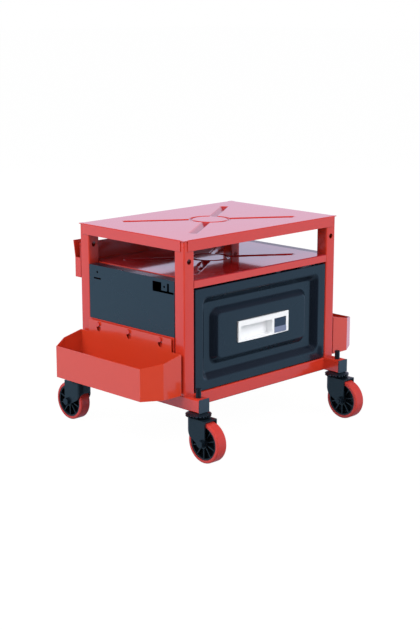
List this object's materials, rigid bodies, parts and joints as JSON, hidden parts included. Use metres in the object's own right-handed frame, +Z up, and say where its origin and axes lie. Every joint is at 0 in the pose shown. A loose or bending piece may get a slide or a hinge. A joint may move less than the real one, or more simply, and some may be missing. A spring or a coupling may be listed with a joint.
{
  "type": "rolling creeper seat",
  "caption": "Low rolling workshop seat of pressed steel on swivel casters, with a shelf, an embossed drawer, side trays that lift off and a rear tool rack.",
  "frame": {"origin": "on the floor under the middle of the seat, which is the bottom centre of the box", "axes": "+X to the right along the drawer front, +Y to the back with the drawer at -Y, +Z up"},
  "size_m": [0.5784, 0.4498, 0.397],
  "materials": {
    "seat_paint": "glossy red enamel over pressed sheet steel",
    "frame_paint": "glossy red enamel on welded square tube",
    "tray_paint": "glossy orange-red enamel on folded sheet steel",
    "cabinet_paint": "semi-gloss blue-grey enamel on sheet steel",
    "cap_plastic": "moulded blue-grey plastic",
    "bezel_plastic": "moulded white plastic",
    "button_plastic": "moulded blue plastic",
    "caster_paint": "semi-gloss black-blue enamel on pressed steel",
    "zinc_steel": "zinc-plated steel",
    "hub_plastic": "black moulded nylon",
    "tread_rubber": "dark red polyurethane tread"
  },
  "bodies": {
    "frame": {"seat_plate": "seat_paint", "shelf_plate": "seat_paint", "post_front_left": "frame_paint", "post_front_right": "frame_paint", "post_rear_left": "frame_paint", "post_rear_right": "frame_paint", "base_tube_left": "frame_paint", "base_tube_right": "frame_paint", "rail_front": "frame_paint", "rail_rear": "frame_paint", "tube_caps": "cap_plastic", "side_panel_left": "cabinet_paint", "side_panel_right": "cabinet_paint", "back_panel": "cabinet_paint", "tool_rack": "frame_paint", "rack_screws": "zinc_steel", "tray_rails": "frame_paint", "tray_screws": "frame_paint", "tray_spacers": "zinc_steel", "slide_outers": "zinc_steel", "slide_screws": "zinc_steel", "caster_stems": "caster_paint", "stem_nuts": "zinc_steel", "swivel_plates": "caster_paint", "swivel_balls": "zinc_steel"},
    "tray_left": {"tray_left": "tray_paint"},
    "tray_right": {"tray_right": "tray_paint"},
    "drawer": {"drawer_front": "cabinet_paint", "drawer_box": "cabinet_paint", "drawer_box_ends": "cabinet_paint", "drawer_screws": "zinc_steel", "slide_inner_left": "zinc_steel", "slide_inner_right": "zinc_steel", "handle_bezel": "bezel_plastic", "latch_guide": "zinc_steel", "latch_spring": "zinc_steel"},
    "cage_left": {"ball_cage_left": "zinc_steel"},
    "cage_right": {"ball_cage_right": "zinc_steel"},
    "button": {"thumb_button": "button_plastic"},
    "latch": {"latch_bar": "cabinet_paint"},
    "fork_front_left": {"fork_front_left": "caster_paint", "axle_front_left": "caster_paint", "bush_front_left": "zinc_steel"},
    "wheel_front_left": {"hub_front_left": "hub_plastic", "tread_front_left": "tread_rubber"},
    "fork_front_right": {"fork_front_right": "caster_paint", "axle_front_right": "caster_paint", "bush_front_right": "zinc_steel"},
    "wheel_front_right": {"hub_front_right": "hub_plastic", "tread_front_right": "tread_rubber"},
    "fork_rear_left": {"fork_rear_left": "caster_paint", "axle_rear_left": "caster_paint", "bush_rear_left": "zinc_steel"},
    "wheel_rear_left": {"hub_rear_left": "hub_plastic", "tread_rear_left": "tread_rubber"},
    "fork_rear_right": {"fork_rear_right": "caster_paint", "axle_rear_right": "caster_paint", "bush_rear_right": "zinc_steel"},
    "wheel_rear_right": {"hub_rear_right": "hub_plastic", "tread_rear_right": "tread_rubber"}
  },
  "joints": [
    {"name": "drawer_slide", "type": "slide", "parent": "frame", "child": "drawer", "axis": [0, -1, 0], "range_m": [0, 0.19]},
    {"name": "cage_slide_left", "type": "slide", "parent": "frame", "child": "cage_left", "axis": [0, -1, 0], "range_m": [0, 0.095]},
    {"name": "cage_slide_right", "type": "slide", "parent": "frame", "child": "cage_right", "axis": [0, -1, 0], "range_m": [0, 0.095]},
    {"name": "button_press", "type": "slide", "parent": "drawer", "child": "button", "axis": [0, 1, 0], "range_m": [0, 0.0035], "stiffness_N_per_m": 600, "springref_m": -0.002},
    {"name": "latch_drop", "type": "slide", "parent": "drawer", "child": "latch", "axis": [0, 0, -1], "range_m": [0, 0.0035], "deforming": ["latch_spring"]},
    {"name": "tray_lift_left", "type": "slide", "parent": "frame", "child": "tray_left", "axis": [0, 0, 1], "range_m": [0, 0.008]},
    {"name": "tray_lift_right", "type": "slide", "parent": "frame", "child": "tray_right", "axis": [0, 0, 1], "range_m": [0, 0.008]},
    {"name": "swivel_front_left", "type": "hinge", "parent": "frame", "child": "fork_front_left", "pos_m": [-0.1925, -0.1644, 0.085], "axis": [0, 0, 1], "continuous": true},
    {"name": "spin_front_left", "type": "hinge", "parent": "fork_front_left", "child": "wheel_front_left", "pos_m": [-0.1925, -0.1874, 0.0375], "axis": [1, 0, 0], "continuous": true},
    {"name": "swivel_front_right", "type": "hinge", "parent": "frame", "child": "fork_front_right", "pos_m": [0.1925, -0.1644, 0.085], "axis": [0, 0, 1], "continuous": true},
    {"name": "spin_front_right", "type": "hinge", "parent": "fork_front_right", "child": "wheel_front_right", "pos_m": [0.1925, -0.1874, 0.0375], "axis": [1, 0, 0], "continuous": true},
    {"name": "swivel_rear_left", "type": "hinge", "parent": "frame", "child": "fork_rear_left", "pos_m": [-0.1925, 0.1644, 0.085], "axis": [0, 0, 1], "continuous": true},
    {"name": "spin_rear_left", "type": "hinge", "parent": "fork_rear_left", "child": "wheel_rear_left", "pos_m": [-0.1925, 0.1874, 0.0375], "axis": [1, 0, 0], "continuous": true},
    {"name": "swivel_rear_right", "type": "hinge", "parent": "frame", "child": "fork_rear_right", "pos_m": [0.1925, 0.1644, 0.085], "axis": [0, 0, 1], "continuous": true},
    {"name": "spin_rear_right", "type": "hinge", "parent": "fork_rear_right", "child": "wheel_rear_right", "pos_m": [0.1925, 0.1874, 0.0375], "axis": [1, 0, 0], "continuous": true}
  ],
  "couplings": [
    {"joint": "cage_slide_left", "follows": "drawer_slide", "ratio": 0.5},
    {"joint": "cage_slide_right", "follows": "drawer_slide", "ratio": 0.5},
    {"joint": "latch_drop", "follows": "button_press", "ratio": 1}
  ]
}
